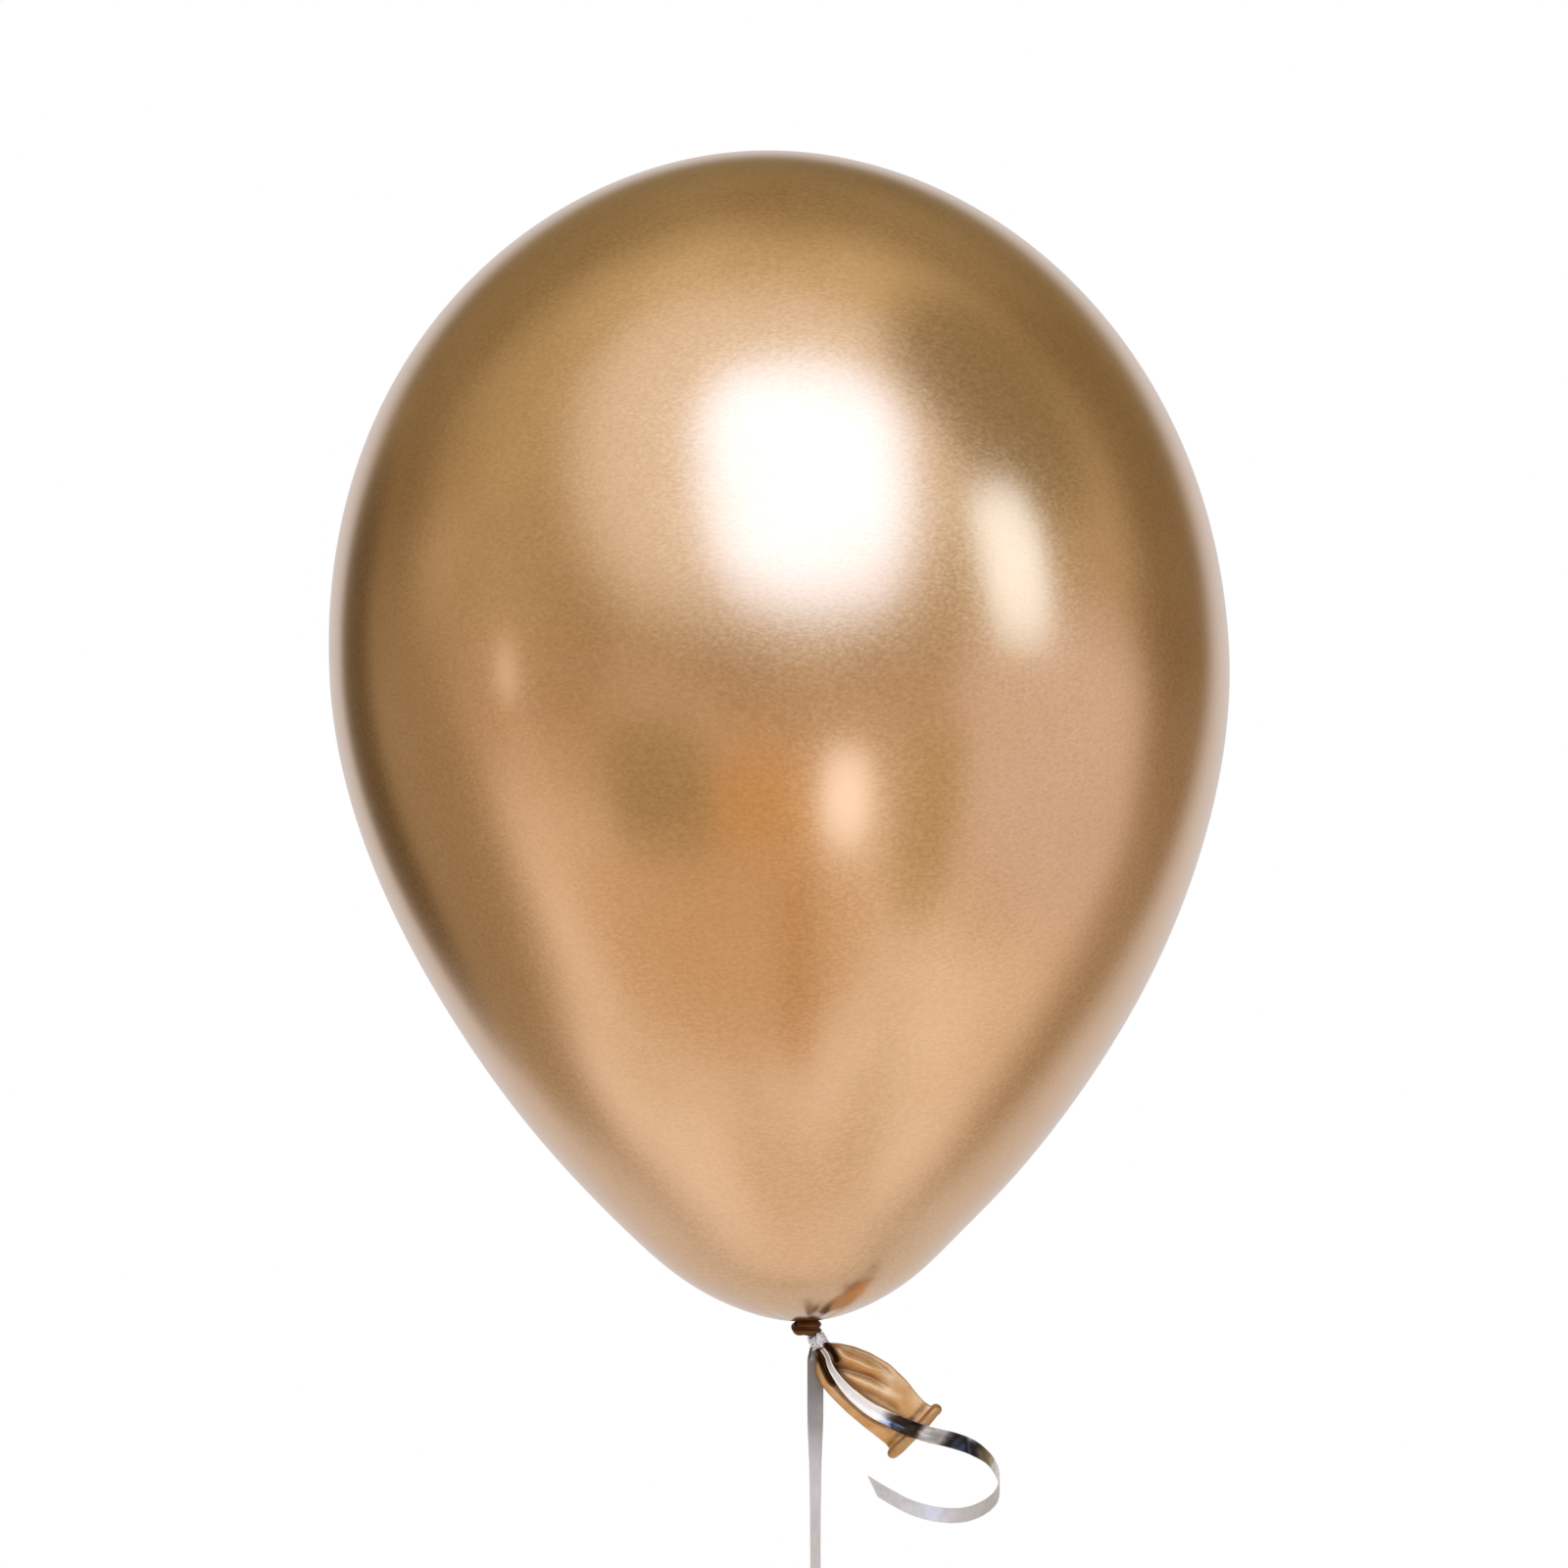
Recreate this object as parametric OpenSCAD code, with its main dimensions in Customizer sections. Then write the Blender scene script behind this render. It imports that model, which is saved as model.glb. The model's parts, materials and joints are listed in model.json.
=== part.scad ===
// Latex party balloon, blown up and knotted, with a curling ribbon tied round its neck.
// Origin at the middle of the ribbon tie, +Z towards the crown, +X towards the side
// where the slack tail of the neck hangs. Millimetres.

/* [Envelope] */
// Largest radius of the blown-up envelope
belly_r = 140; // [120:5:160]
// Height of the crown above the widest place
crown_h = 160; // [140:5:180]
// Height of the widest place above the throat
belly_h = 205; // [180:5:230]
// Lean of the envelope away from the hanging ribbon, in degrees
lean = 2.2; // [0:0.1:4]
// Thickness of the film (a stand-in, the stretched film is far thinner)
film_t = 0.3; // [0.25:0.05:0.5]

/* [Neck and knot] */
// Radius of the gathered neck inside the tie
neck_r = 2; // [1.8:0.1:2.2]
// Radius of the opening where the neck leaves the envelope
throat_r = 2.2; // [2:0.1:2.4]
// Radius of the rolled neck that forms the knot's turns
roll_r = 1.2; // [1:0.1:1.3]

/* [Tail] */
// Length of the slack neck from the tie to the rolled rim
tail_len = 38; // [34:1:40]
// Angle of the tail below the horizontal
tail_drop = 42.5; // [35:0.5:50]
// Length of the rolled rim across the flattened mouth
bead_len = 23; // [21:0.5:26]
// Radius of the rolled rim
bead_r = 1.7; // [1.5:0.1:1.7]
// Thickness of the slack rubber
sleeve_t = 0.4; // [0.3:0.05:0.6]

/* [Ribbon] */
// Width of the curling ribbon
ribbon_w = 5; // [4:0.5:5]
// Thickness of the ribbon's solid (a stand-in, real ribbon is a film)
ribbon_t = 0.5; // [0.4:0.1:0.6]
// Thickness of the ribbon bunched up in the tie
wrap_t = 0.6; // [0.4:0.1:0.7]
// Number of turns round the neck
wrap_turns = 3; // [2:1:4]

/* [Hidden] */

GOLD = "#B08A58";
SLACK_GOLD = "#A87B3E";
SILVER = "#C9C7C8";
ROUND = 64;           // facets of a true circle
OUTLINE_STEPS = 24;   // straight runs in each half of the envelope's outline

// Shape of the envelope's outline, as parts of its radius and its two heights
crown_flat = 0.48;    // how far the crown stays level
belly_rise = 0.63;    // how far the belly stays upright above its widest place
belly_fall = 0.475;   // and below it
throat_flat = 0.3;    // how far the bottom stays level round the throat

// Directions and places along the neck
tie_tilt = 150;                     // turns +Z into the neck's line through the tie
tail_tilt = 90 + tail_drop;         // turns +Z into the tail's line
throat_at = [-3.5, 0, 6.1];         // centre of the envelope's throat
plug_drop = 1.8;                    // the neck below the throat, before it bends
neck_top = 6;                       // where the bent neck starts above the tie
wrap_len = 3.6;                     // length of the tie along the neck
knot_at = [-3.6, 0, 4];             // centre of the knot
turn_gap = 0.75;                    // half the distance between the knot's two turns
hinge_drop = 2.1;                   // the tail bends this far below the tie's middle
tail_start = 2.3;                   // the slack tail starts this far from its bend
hinge_at = [hinge_drop * sin(tie_tilt), 0, hinge_drop * cos(tie_tilt)];

// The flattened sleeve: half widths and half thicknesses along it
SLEEVE_RINGS = 12;
SLEEVE_SIDES = 32;
mouth_half_t = 1.9;
bead_bow = 1.75;                    // radius of the rim's path at its two ends
mouth_half_w = bead_len / 2 - bead_r - 0.9;
bead_half_run = bead_len / 2 - bead_r - bead_bow;

// Routes of the ribbon and the direction of its width at each point
LEAD = [[3, -3.2, -5], [3.8, -3.3, -7.6], [5.3, -3.4, -10.4], [8.7, -3.4, -14.8],
        [12.2, -3.5, -18], [16.4, -3.6, -21.2], [21.7, -3.8, -24], [27.8, -4.1, -26.9],
        [34.2, -4.7, -29]];
LEAD_W = [[1, 0.1, 0.3], [1, 0.1, 0.4], [0.9, 0.1, 0.5], [0.8, 0.1, 0.8], [0.7, 0, 0.8],
          [0.6, 0, 0.8], [0.5, 0, 0.9], [0.4, 0, 0.9], [0.4, 0, 0.9]];
CURL = [[35.8, -5, -29.4], [38.6, -5.5, -30], [43.4, -5.8, -30.7], [47.9, -4.6, -33],
        [52.4, -1.2, -36.1], [55.6, 4, -40.3], [57.2, 10, -45.4], [56.4, 16, -50.6],
        [53, 21.5, -54.6], [47.4, 25.5, -57.4], [41, 27.5, -58], [34.6, 27.8, -57],
        [28.3, 26.5, -54.7], [22, 24, -51], [17.6, 21.5, -48.1]];
CURL_W = [[0.4, 0, 0.9], [0.4, 0, 0.9], [0.3, 0.2, 0.9], [0.2, 0.4, 0.9], [0, 0.5, 0.9],
          [0, 0.5, 0.9], [0, 0.5, 0.9], [0, 0.5, 0.9], [0, 0.5, 0.9], [0, 0.5, 0.9],
          [0, 0.5, 0.9], [0, 0.5, 0.9], [0, 0.5, 0.9], [0, 0.5, 0.9], [0, 0.5, 0.9]];
TETHER = [[-0.6, 3.2, -1.2], [-0.6, 3.2, -12], [-0.6, 3.2, -24], [-0.6, 3.2, -40],
          [-0.6, 3.2, -60], [-0.6, 3.2, -81]];
TETHER_W = [[1, 0, 0], [1, 0, 0], [1, 0.2, 0], [1, 0.9, 0], [1, 1.2, 0], [1, 1.2, 0]];
loop_knot_at = [-0.6, 3.2, -83.6];
loop_knot_r = 2.6;
loop_turn = 50;                     // turns the loop's width in line with the tether's
LOOP = [[0, 0.8, -2.9], [0, 3.6, -8], [0, 6.4, -15], [0, 6.6, -22], [0, 3.8, -27.4],
        [0, 0, -29], [0, -3.8, -27.4], [0, -6.6, -22], [0, -6.4, -15], [0, -3.6, -8],
        [0, -0.8, -2.9]];
STEPS = 3;                          // rings between two points of a curved route

function unit(v) = v / norm(v);

function bezier(a, b, c, d, t) =
    pow(1 - t, 3) * a + 3 * pow(1 - t, 2) * t * b + 3 * (1 - t) * t * t * c + pow(t, 3) * d;

function bezier_run(a, b, c, d, t) =
    pow(1 - t, 2) * (b - a) + 2 * (1 - t) * t * (c - b) + t * t * (d - c);

// Point of a curve, moved square to it by a distance
function moved(a, b, c, d, t, inward) =
    let (run = unit(bezier_run(a, b, c, d, t)))
    bezier(a, b, c, d, t) + inward * [-run[1], run[0]];

// Outline from the crown to the throat, heights counted from the throat
function outline(inward) = concat(
    [for (i = [0 : OUTLINE_STEPS])
        moved([0, belly_h + crown_h], [belly_r * crown_flat, belly_h + crown_h],
              [belly_r, belly_h + crown_h * belly_rise], [belly_r, belly_h],
              i / OUTLINE_STEPS, -inward)],
    [for (i = [1 : OUTLINE_STEPS])
        moved([belly_r, belly_h], [belly_r, belly_h * (1 - belly_fall)],
              [belly_r * throat_flat, 0], [throat_r, 0], i / OUTLINE_STEPS, -inward)]);

function reversed(list) = [for (i = [len(list) - 1 : -1 : 0]) list[i]];

// Smooth curve through four neighbours, between the middle two
function between(a, b, c, d, t) =
    0.5 * (2 * b + (c - a) * t + (2 * a - 5 * b + 4 * c - d) * t * t
           + (3 * b - 3 * c + d - a) * pow(t, 3));

function near(list, i) = list[max(0, min(len(list) - 1, i))];

function smooth(list) = concat(
    [for (i = [0 : len(list) - 2], s = [0 : STEPS - 1])
        between(near(list, i - 1), list[i], list[i + 1], near(list, i + 2), s / STEPS)],
    [list[len(list) - 1]]);

// Flat ring with eight corners, square to the route
function flat_ring(at, run, wide) =
    let (side = unit(wide - (wide * run) * run),
         up = cross(run, side),
         edge = ribbon_w / 2,
         face = ribbon_t / 2)
    [for (c = [[1, 0.3], [0.8, 1], [-0.8, 1], [-1, 0.3], [-1, -0.3], [-0.8, -1], [0.8, -1],
               [1, -0.3]])
        at + side * c[0] * edge + up * c[1] * face];

function route_run(route, i) = unit(near(route, i + 1) - near(route, i - 1));

// Skin of a solid made of rings with equal numbers of corners
module ring_solid(rings) {
    sides = len(rings[0]);
    last = len(rings) - 1;
    walls = [for (i = [0 : last - 1], k = [0 : sides - 1])
        let (k2 = (k + 1) % sides)
        each [[i * sides + k, (i + 1) * sides + k2, i * sides + k2],
              [i * sides + k, (i + 1) * sides + k, (i + 1) * sides + k2]]];
    ends = [[for (k = [0 : sides - 1]) k],
            [for (k = [sides - 1 : -1 : 0]) last * sides + k]];
    polyhedron([for (ring = rings) each ring], concat(walls, ends));
}

module ribbon_strip(route, widths) {
    points = smooth(route);
    wides = smooth(widths);
    ring_solid([for (i = [0 : len(points) - 1])
        flat_ring(points[i], route_run(points, i), wides[i])]);
}

// Section of the flattened sleeve: straight sides with round ends
function sleeve_ring(height, half_w, half_t) =
    [for (k = [0 : SLEEVE_SIDES - 1])
        let (a = 360 * (k + 0.5) / SLEEVE_SIDES)
        [sign(cos(a)) * (half_w - half_t) + half_t * cos(a), half_t * sin(a), height]];

// Half width and length along the sleeve: it spreads quickly, then narrows to the rim
function sleeve_at(t) =
    bezier([tail_start, 1.8], [tail_start + 2, 9], [tail_len * 0.5, 12],
           [tail_len, mouth_half_w], t);

function sleeve_half_t(t) = 1.7 + (mouth_half_t - 1.7) * t;

module neck_core() {
    translate(throat_at) rotate([0, -lean, 0]) translate([0, 0, -plug_drop])
        cylinder(r = throat_r, h = plug_drop + film_t, $fn = ROUND);
    rotate([0, tie_tilt, 0]) translate([0, 0, -neck_top])
        cylinder(r = neck_r, h = neck_top + hinge_drop - 0.2, $fn = ROUND);
}

module envelope() {
    color(GOLD) translate(throat_at) rotate([0, -lean, 0])
        rotate_extrude($fn = 96)
            polygon(concat(outline(0), reversed(outline(film_t))));
}

module neck() {
    color(SLACK_GOLD) neck_core();
}

module knot() {
    color(SLACK_GOLD) difference() {
        for (side = [-1, 1])
            translate(knot_at + [0, 0, side * turn_gap])
                rotate_extrude($fn = ROUND)
                    translate([throat_r + roll_r - 0.2, 0]) circle(r = roll_r, $fn = 32);
        neck_core();
    }
}

module tail_sleeve() {
    outer = [for (i = [0 : SLEEVE_RINGS])
        let (t = i / SLEEVE_RINGS, at = sleeve_at(t))
        sleeve_ring(at[0], at[1], sleeve_half_t(t))];
    inner = [for (i = [SLEEVE_RINGS : -1 : 1])
        let (t = i / SLEEVE_RINGS, at = sleeve_at(t))
        sleeve_ring(at[0], at[1] - sleeve_t, sleeve_half_t(t) - sleeve_t)];
    color(SLACK_GOLD) translate(hinge_at) rotate([0, tail_tilt, 0])
        ring_solid(concat(outer, inner));
}

module mouth_bead() {
    color(SLACK_GOLD) translate(hinge_at) rotate([0, tail_tilt, 0])
        translate([0, 0, tail_len + bead_r]) {
            for (side = [-1, 1]) {
                translate([side * bead_half_run, 0, 0]) rotate([0, 0, side * -90])
                    rotate_extrude(angle = 180, $fn = ROUND)
                        translate([bead_bow, 0]) circle(r = bead_r, $fn = 32);
                translate([-bead_half_run, side * bead_bow, 0]) rotate([0, 90, 0])
                    cylinder(r = bead_r, h = 2 * bead_half_run, $fn = 32);
            }
        }
}

module ribbon_wraps() {
    pitch = wrap_len / wrap_turns;
    soft = pitch * 0.2;
    color(SILVER) rotate([0, tie_tilt, 0])
        for (turn = [0 : wrap_turns - 1])
            translate([0, 0, turn * pitch - wrap_len / 2])
                rotate_extrude($fn = ROUND)
                    polygon([[neck_r, 0], [neck_r + wrap_t - soft, 0], [neck_r + wrap_t, soft],
                             [neck_r + wrap_t, pitch - soft], [neck_r + wrap_t - soft, pitch],
                             [neck_r, pitch]]);
}

module ribbon_hitch() {
    color(SILVER) rotate([0, tie_tilt, 0]) translate([0, -neck_r - wrap_t - 0.9, 0])
        difference() {
            rotate([0, 90, 0]) cylinder(r = 0.9, h = 3, center = true, $fn = 32);
            translate([0, neck_r + wrap_t + 0.9, 0])
                cylinder(r = neck_r + wrap_t, h = 4, center = true, $fn = ROUND);
        }
}

module ribbon_lead() {
    color(SILVER) ribbon_strip(LEAD, LEAD_W);
}

module ribbon_curl() {
    color(SILVER) ribbon_strip(CURL, CURL_W);
}

module ribbon_tether() {
    color(SILVER) ribbon_strip(TETHER, TETHER_W);
}

module loop_knot() {
    color(SILVER) translate(loop_knot_at) rotate([0, 0, loop_turn])
        rotate([0, 90, 0]) cylinder(r = loop_knot_r, h = 3.6, center = true, $fn = ROUND);
}

module hand_loop() {
    color(SILVER) translate(loop_knot_at) rotate([0, 0, loop_turn])
        ribbon_strip(LOOP, [for (point = LOOP) [1, 0, 0]]);
}

envelope();
neck();
knot();
tail_sleeve();
mouth_bead();
ribbon_wraps();
ribbon_hitch();
ribbon_lead();
ribbon_curl();
ribbon_tether();
loop_knot();
hand_loop();
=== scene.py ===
"""A gold latex balloon, blown up and knotted, on a silver curling ribbon.

Metres, +Z up. The origin is the middle of the ribbon tie on the balloon's neck, and the
camera looks along +Y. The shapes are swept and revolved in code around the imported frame.
"""

import json
import math

import bpy
import numpy as np
from mathutils import Matrix, Vector


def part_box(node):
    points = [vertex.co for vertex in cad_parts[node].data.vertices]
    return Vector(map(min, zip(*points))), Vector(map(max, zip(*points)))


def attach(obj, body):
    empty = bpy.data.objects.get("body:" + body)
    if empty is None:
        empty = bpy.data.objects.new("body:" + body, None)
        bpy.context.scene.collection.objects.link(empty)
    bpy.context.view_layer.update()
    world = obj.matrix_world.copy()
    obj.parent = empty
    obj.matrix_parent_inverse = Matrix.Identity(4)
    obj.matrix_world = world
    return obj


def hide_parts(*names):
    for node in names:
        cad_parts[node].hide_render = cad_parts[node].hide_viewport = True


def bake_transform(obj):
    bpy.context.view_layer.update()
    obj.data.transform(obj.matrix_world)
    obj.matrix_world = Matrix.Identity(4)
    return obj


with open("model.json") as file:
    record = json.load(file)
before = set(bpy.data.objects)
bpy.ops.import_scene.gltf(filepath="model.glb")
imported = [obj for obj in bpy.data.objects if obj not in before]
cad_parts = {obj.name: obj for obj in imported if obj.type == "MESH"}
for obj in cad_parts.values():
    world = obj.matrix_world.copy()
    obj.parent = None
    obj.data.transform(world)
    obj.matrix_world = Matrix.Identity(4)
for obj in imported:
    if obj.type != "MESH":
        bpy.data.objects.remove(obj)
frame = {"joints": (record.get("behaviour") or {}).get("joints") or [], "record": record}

MM = 0.001
JOINTS = {joint["name"]: joint for joint in frame["joints"]}
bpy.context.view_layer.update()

# ---------------------------------------------------------------- small tools


def unit(vectors):
    """The same directions at length 1."""
    vectors = np.asarray(vectors, float)
    return vectors / np.linalg.norm(vectors, axis=-1, keepdims=True)


def ease(value):
    """Goes smoothly from 0 to 1 as value does."""
    value = np.clip(value, 0, 1)
    return value * value * (3 - 2 * value)


def hill(value, centre, spread):
    """A smooth hump of height 1."""
    return np.exp(-(((value - centre) / spread) ** 2))


def smooth_route(points, steps):
    """A curve through the points, with this many steps from each to the next."""
    points = np.asarray(points, float)
    last = len(points) - 1
    out = []
    for i in range(last):
        a, b = points[max(0, i - 1)], points[i]
        c, d = points[i + 1], points[min(last, i + 2)]
        for k in range(steps):
            t = k / steps
            out.append(0.5 * (2 * b + (c - a) * t + (2 * a - 5 * b + 4 * c - d) * t ** 2
                              + (3 * b - 3 * c + d - a) * t ** 3))
    out.append(points[last])
    return np.array(out)


def lengths_along(points):
    """The distance along the curve at each of its points."""
    return np.concatenate([[0], np.cumsum(np.linalg.norm(np.diff(points, axis=0), axis=1))])


def at_lengths(points, values, wanted):
    """Values that belong to the curve's points, read off at the wanted distances along it."""
    along = lengths_along(points)
    return np.stack([np.interp(wanted, along, values[:, k]) for k in range(3)], axis=-1)


def bezier(corners, count):
    """A cubic curve from its four control points."""
    a, b, c, d = (np.asarray(corner, float) for corner in corners)
    t = np.linspace(0, 1, count)[:, None]
    return (1 - t) ** 3 * a + 3 * (1 - t) ** 2 * t * b + 3 * (1 - t) * t ** 2 * c + t ** 3 * d


def grid_mesh(name, rows, around=False, capped=False):
    """A mesh from rows of points.

    around joins the ends of each row, and capped fills in the first and the last row.
    """
    rows = np.asarray(rows, float)
    count, sides = rows.shape[:2]
    faces = []
    for i in range(count - 1):
        for k in range(sides if around else sides - 1):
            k2 = (k + 1) % sides
            faces.append((i * sides + k, i * sides + k2, (i + 1) * sides + k2, (i + 1) * sides + k))
    if capped:
        faces.append(tuple(reversed(range(sides))))
        faces.append(tuple((count - 1) * sides + k for k in range(sides)))
    mesh = bpy.data.meshes.new(name)
    mesh.from_pydata(rows.reshape(-1, 3).tolist(), [], faces)
    mesh.update()
    mesh.shade_smooth()
    piece = bpy.data.objects.new(name, mesh)
    bpy.context.scene.collection.objects.link(piece)
    return piece


def add_layer(piece, name, values):
    """Stores a number for each point of the mesh, which its material reads."""
    layer = piece.data.attributes.new(name, "FLOAT", "POINT")
    layer.data.foreach_set("value", np.asarray(values, np.float32))


def apply_modifier(piece, kind, **settings):
    """Changes the piece's mesh by one modifier, for good."""
    modifier = piece.modifiers.new(kind.lower(), kind)
    for key, value in settings.items():
        setattr(modifier, key, value)
    bpy.context.view_layer.update()
    evaluated = piece.evaluated_get(bpy.context.evaluated_depsgraph_get())
    mesh = bpy.data.meshes.new_from_object(evaluated)
    mesh.name = piece.name
    piece.modifiers.clear()
    piece.data = mesh


def square_frames(route, widths):
    """Along, width and face directions at each point of a route."""
    run = unit(np.gradient(route, axis=0))
    side = unit(widths - (widths * run).sum(1, keepdims=True) * run)
    return run, side, np.cross(run, side)


def tube(name, route, radius, sides, flutes, flute_count, closed=False):
    """A tube along a route. flutes are lengthwise wrinkles, as a share of the radius."""
    route = np.asarray(route, float)
    run = unit(np.gradient(route, axis=0))
    if closed:
        run = unit(np.roll(route, -1, axis=0) - np.roll(route, 1, axis=0))
    side = [unit(np.cross(run[0], [0.3, 1, 0.2]))]
    for along in run[1:]:
        side.append(unit(side[-1] - np.dot(side[-1], along) * along))
    side = np.array(side)
    up = np.cross(run, side)
    turn = np.linspace(0, 2 * math.pi, sides, endpoint=False)
    share = np.linspace(0, 1, len(route))
    radius = np.broadcast_to(radius, (len(route),))
    rows = []
    for i, centre in enumerate(route):
        # the wrinkles wind a little round the tube, and some are deeper than others
        wrinkle = 1 + flutes * np.sin(flute_count * turn + 5 * share[i]) * (
            0.6 + 0.4 * np.sin(3 * turn + 9 * share[i]))
        reach = radius[i] * wrinkle
        rows.append(centre + np.outer(reach * np.cos(turn), side[i])
                    + np.outer(reach * np.sin(turn), up[i]))
    if closed:
        rows.append(rows[0])
    return grid_mesh(name, rows, around=True, capped=not closed)


# ------------------------------------------------------------- camera and view

TIE = Vector(frame["record"]["mounts"][0]["pos_m"])
VIEW_WIDTH = 0.4893          # width of the view at the balloon
VIEW_CENTRE = Vector((-0.0104, 0, 0.1734))
CAMERA_AWAY = 2.0
SENSOR = 36.0


def make_camera():
    """A level camera in front of the balloon."""
    camera = bpy.data.objects.new("camera", bpy.data.cameras.new("camera"))
    camera.data.sensor_width = SENSOR
    camera.data.lens = SENSOR * CAMERA_AWAY / VIEW_WIDTH
    camera.location = TIE + VIEW_CENTRE - Vector((0, CAMERA_AWAY, 0))
    camera.rotation_euler = (math.pi / 2, 0, 0)
    bpy.context.scene.collection.objects.link(camera)
    bpy.context.scene.camera = camera


make_camera()

# -------------------------------------------------------------------- materials


def to_linear(code):
    """A colour from its sRGB hex code, as linear red, green, blue and alpha."""
    parts = [int(code[k:k + 2], 16) / 255 for k in (1, 3, 5)]
    return [c / 12.92 if c <= 0.04045 else ((c + 0.055) / 1.055) ** 2.4 for c in parts] + [1.0]


def add(tree, kind, settings=None, **sockets):
    """Adds a node, with its settings, and sets or links its sockets by name or number."""
    new = tree.nodes.new(kind)
    for key, value in (settings or {}).items():
        setattr(new, key, value)
    for key, value in sockets.items():
        key = int(key[1:]) if key[0] == "_" and key[1:].isdigit() else key.replace("_", " ")
        if isinstance(value, bpy.types.NodeSocket):
            tree.links.new(value, new.inputs[key])
        else:
            new.inputs[key].default_value = value
    return new


def ramp(tree, fac, stops):
    """A colour ramp between (place, hex colour) stops."""
    new = add(tree, "ShaderNodeValToRGB", Fac=fac)
    points = new.color_ramp.elements
    while len(points) < len(stops):
        points.new(0.5)
    for point, (place, code) in zip(points, stops):
        point.position = place
        point.color = to_linear(code)
    return new.outputs["Color"]


def new_material(name):
    """An empty material and its node tree."""
    material = bpy.data.materials.new(name)
    material.use_nodes = True
    material.node_tree.nodes.clear()
    return material, material.node_tree


def finish_material(tree, shader):
    """Sends the shader to the surface."""
    add(tree, "ShaderNodeOutputMaterial", Surface=shader.outputs[0])


def stretched_latex():
    """Dip-moulded chrome latex, blown up: a metallic film, mirror-like with a fine satin grain."""
    material, tree = new_material("stretched_chrome_latex")
    place = add(tree, "ShaderNodeTexCoord").outputs["Object"]
    # metal flakes in the rubber are about 0.05 mm, drawn as a 1.6 mm grain so that they show
    flat = add(tree, "ShaderNodeMapping", Vector=place, Scale=(1.0, 1.0, 1.8))
    grain = add(tree, "ShaderNodeTexNoise", Vector=flat.outputs[0], Scale=1 / (1.6 * MM),
                Detail=3.0, Roughness=0.7)
    # the film is uneven over some 45 mm
    clouds = add(tree, "ShaderNodeTexNoise", Vector=place, Scale=1 / (45 * MM), Detail=3.0)
    film = add(tree, "ShaderNodeAttribute", {"attribute_name": "film"}).outputs["Fac"]
    # thick, less stretched rubber at the crown and the throat holds more pigment
    gold = ramp(tree, film, [(0.0, "#B98A52"), (0.35, "#EABF8C"), (1.0, "#F4CC9C")])
    tint = add(tree, "ShaderNodeMix", {"data_type": "RGBA", "blend_type": "MULTIPLY"},
               _0=0.35, _6=gold,
               _7=ramp(tree, clouds.outputs["Fac"], [(0.35, "#F3EBDD"), (0.65, "#FFFFFF")]))
    gloss = add(tree, "ShaderNodeMapRange", Value=grain.outputs["Fac"], From_Min=0.3,
                From_Max=0.7, To_Min=0.19, To_Max=0.27)
    skin = add(tree, "ShaderNodeBump", Height=grain.outputs["Fac"], Strength=0.2,
               Distance=0.05 * MM)
    speck = add(tree, "ShaderNodeMix", {"data_type": "RGBA", "blend_type": "MULTIPLY"},
                _0=1.0, _6=tint.outputs[2],
                _7=ramp(tree, grain.outputs["Fac"], [(0.35, "#EFEDEA"), (0.65, "#FFFFFF")]))
    shader = add(tree, "ShaderNodeBsdfPrincipled", Base_Color=speck.outputs[2], Metallic=1.0,
                 Roughness=gloss.outputs[0], Normal=skin.outputs[0], Coat_Weight=1.0,
                 Coat_Roughness=0.14, Coat_IOR=1.5)
    finish_material(tree, shader)
    return material


def slack_latex():
    """The same rubber where it isn't stretched: deeper gold, satin, with fine skin wrinkles."""
    material, tree = new_material("slack_chrome_latex")
    place = add(tree, "ShaderNodeTexCoord").outputs["Object"]
    clouds = add(tree, "ShaderNodeTexNoise", Vector=place, Scale=1 / (6 * MM), Detail=4.0)
    # skin wrinkles in slack rubber are 0.3 to 0.5 mm apart, drawn 0.8 mm so that they show
    wrinkles = add(tree, "ShaderNodeTexNoise", Vector=place, Scale=1 / (0.8 * MM), Detail=3.0,
                   Roughness=0.65)
    gold = ramp(tree, clouds.outputs["Fac"], [(0.3, "#D9A566"), (0.55, "#ECC088"),
                                              (0.75, "#F8D6A8")])
    # painted shade: the gathered layer browns the rubber where it is folded, rolled or tucked, as
    # if in shade; such thick rubber is also a little deeper in colour of its own
    gathered = add(tree, "ShaderNodeAttribute", {"attribute_name": "gathered"}).outputs["Fac"]
    deep = add(tree, "ShaderNodeMix", {"data_type": "RGBA"}, _0=gathered, _6=gold,
               _7=to_linear("#5C3A1A"))
    gloss = add(tree, "ShaderNodeMapRange", Value=clouds.outputs["Fac"], From_Min=0.3,
                From_Max=0.7, To_Min=0.4, To_Max=0.54)
    skin = add(tree, "ShaderNodeBump", Height=wrinkles.outputs["Fac"], Strength=0.3,
               Distance=0.08 * MM)
    shader = add(tree, "ShaderNodeBsdfPrincipled", Base_Color=deep.outputs[2], Metallic=0.9,
                 Roughness=gloss.outputs[0], Normal=skin.outputs[0], Coat_Weight=0.15,
                 Coat_Roughness=0.3, Coat_IOR=1.5)
    finish_material(tree, shader)
    return material


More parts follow.
